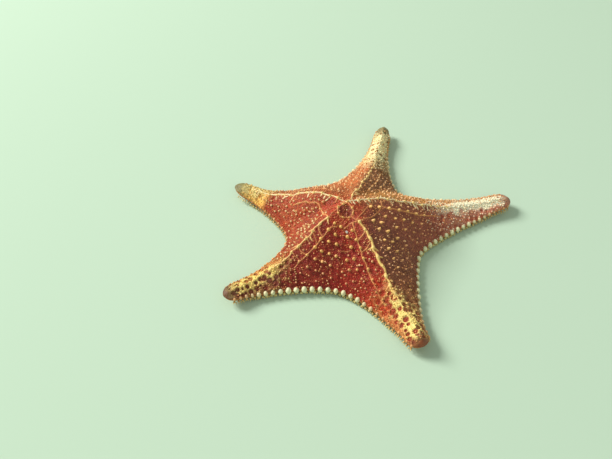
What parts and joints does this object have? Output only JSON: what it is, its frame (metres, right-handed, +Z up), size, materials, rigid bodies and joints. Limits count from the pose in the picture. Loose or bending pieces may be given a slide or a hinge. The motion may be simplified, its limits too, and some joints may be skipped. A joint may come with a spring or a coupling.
{
  "type": "red cushion sea star",
  "caption": "Life-size still model of a red cushion sea star lying mouth down, with a high disc, blunt tapering arms, conical tubercles and beaded margins.",
  "frame": {"origin": "on the floor, under the middle of the whole star's box", "axes": "+Z up through the back of the star, -Y towards the side nearest the viewer, +X to the viewer's right"},
  "size_m": [0.259, 0.255, 0.0489],
  "materials": {
    "disc_skin": "rough, damp, red to maroon",
    "arm_skin": "rough, damp, orange-red with a cream net",
    "tip_plate": "smooth, damp, brown",
    "ossicles": "rough, cream-yellow calcite plates and tubercles"
  },
  "bodies": {
    "root": {"disc": "disc_skin", "arm_back_base": "arm_skin", "arm_back_end": "arm_skin", "tip_back": "tip_plate", "arm_left_base": "arm_skin", "arm_left_end": "arm_skin", "tip_left": "tip_plate", "arm_front_left_base": "arm_skin", "arm_front_left_end": "arm_skin", "tip_front_left": "tip_plate", "arm_front_right_base": "arm_skin", "arm_front_right_end": "arm_skin", "tip_front_right": "tip_plate", "arm_right_base": "arm_skin", "arm_right_end": "arm_skin", "tip_right": "tip_plate"}
  },
  "joints": []
}
